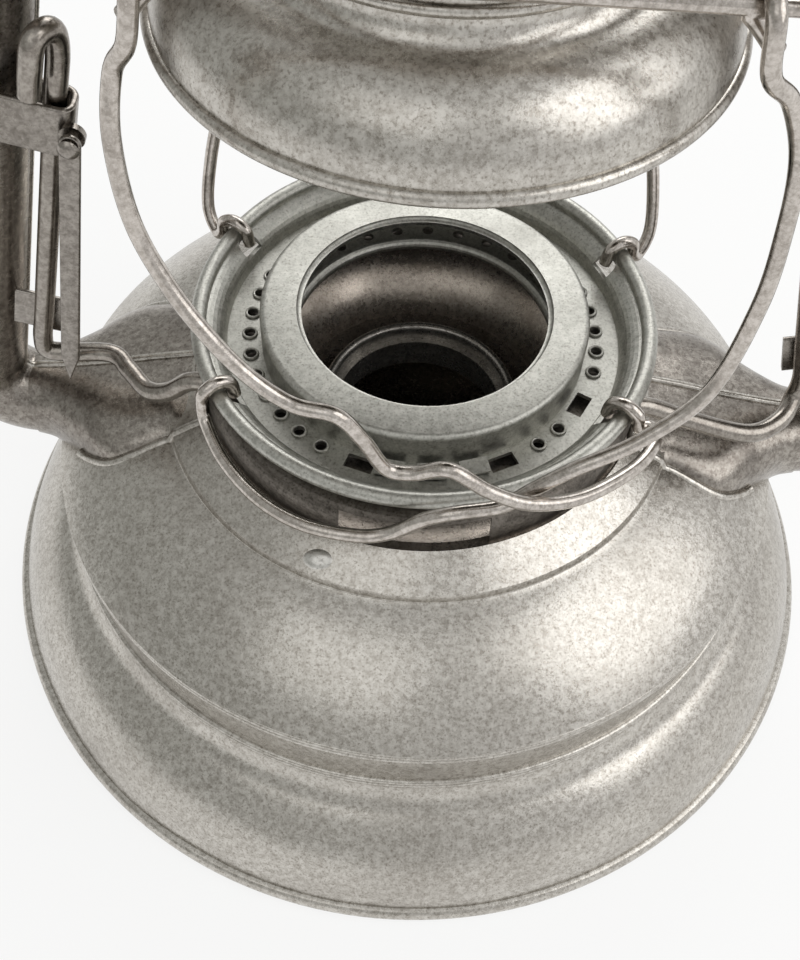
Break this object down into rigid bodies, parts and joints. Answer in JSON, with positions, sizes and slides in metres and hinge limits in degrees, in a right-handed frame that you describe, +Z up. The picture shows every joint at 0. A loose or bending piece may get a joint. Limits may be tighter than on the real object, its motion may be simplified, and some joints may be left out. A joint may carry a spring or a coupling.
{
  "type": "hurricane lantern",
  "caption": "Storm lantern frame of tinned steel with flared tank, side air tubes, lifting globe plate, crossed wire guards, loose hood, crown, filler cap and swinging bail.",
  "frame": {"origin": "centre of the base on the table", "axes": "+Z up, side tubes along X, front of the lantern (crossing guard wires) towards -Y"},
  "size_m": [0.1722, 0.163, 0.2758],
  "materials": {
    "tin_steel": "weathered tin plate, satin, mottled",
    "dull_steel": "weathered steel with brown patina, satin",
    "pale_zinc": "pale zinc plate, satin",
    "wire": "drawn steel wire, worn bright",
    "gasket": "dark compressed sealing disc"
  },
  "bodies": {
    "frame": {"base_rim": "tin_steel", "base_skirt": "tin_steel", "tank_wall": "tin_steel", "tank_bottom": "dull_steel", "tank_top": "tin_steel", "tank_well": "dull_steel", "burner_collar": "tin_steel", "air_chamber": "dull_steel", "air_duct_left": "tin_steel", "air_duct_right": "tin_steel", "foot_bend_left": "tin_steel", "foot_bend_right": "tin_steel", "side_tube_left": "tin_steel", "side_tube_right": "tin_steel", "top_bend_left": "tin_steel", "top_bend_right": "tin_steel", "crown": "tin_steel", "chimney": "dull_steel", "chimney_cap": "tin_steel", "filler_neck": "tin_steel", "guide_lower_left": "tin_steel", "guide_lower_right": "tin_steel", "guide_upper_left": "tin_steel", "guide_upper_right": "tin_steel", "bail_ear_left": "tin_steel", "bail_ear_right": "tin_steel"},
    "carrier": {"globe_plate": "pale_zinc", "globe_ring": "pale_zinc", "lift_wire_left": "wire", "lift_wire_right": "wire"},
    "front_guard": {"guard_front_left": "wire", "guard_front_right": "wire"},
    "rear_guard_left": {"guard_rear_left": "wire"},
    "rear_guard_right": {"guard_rear_right": "wire"},
    "catch": {"lift_catch": "pale_zinc"},
    "hood": {"hood": "tin_steel", "hood_wire_front": "wire", "hood_wire_rear": "wire", "hood_loop_left": "wire", "hood_loop_right": "wire", "hood_bar": "dull_steel", "hood_stem": "wire"},
    "pull_ring": {"lifting_ring": "wire"},
    "bail": {"bail": "wire"},
    "cap": {"filler_cap": "tin_steel", "cap_gasket": "gasket"}
  },
  "joints": [
    {"name": "globe_lift", "type": "slide", "parent": "frame", "child": "carrier", "axis": [0, 0, 1], "range_m": [0, 0.015]},
    {"name": "hood_rise", "type": "slide", "parent": "frame", "child": "hood", "axis": [0, 0, 1], "range_m": [0, 0.015]},
    {"name": "front_guard_swing", "type": "hinge", "parent": "carrier", "child": "front_guard", "pos_m": [0, -0.01965, 0.0688], "axis": [1, 0, 0], "range_deg": [0, 16]},
    {"name": "rear_guard_left_swing", "type": "hinge", "parent": "carrier", "child": "rear_guard_left", "pos_m": [-0.0338, 0.01648, 0.0688], "axis": [-1, 0, 0], "range_deg": [0, 16]},
    {"name": "rear_guard_right_swing", "type": "hinge", "parent": "carrier", "child": "rear_guard_right", "pos_m": [0.0338, 0.01648, 0.0688], "axis": [-1, 0, 0], "range_deg": [0, 16]},
    {"name": "catch_swing", "type": "hinge", "parent": "frame", "child": "catch", "pos_m": [-0.04914, -0.0102, 0.1089], "axis": [0, -1, 0], "range_deg": [0, 5]},
    {"name": "pull_ring_swing", "type": "hinge", "parent": "hood", "child": "pull_ring", "pos_m": [0, 0, 0.246], "axis": [1, 0, 0], "range_deg": [0, 230]},
    {"name": "bail_swing", "type": "hinge", "parent": "frame", "child": "bail", "pos_m": [0, 0, 0.172], "axis": [1, 0, 0], "range_deg": [-120, 120]},
    {"name": "cap_turn", "type": "hinge", "parent": "frame", "child": "cap", "pos_m": [0, 0.05535, 0.0457], "axis": [0, 0.5158, 0.8567], "continuous": true}
  ],
  "couplings": [
    {"joint": "hood_rise", "follows": "globe_lift", "ratio": 1}
  ]
}
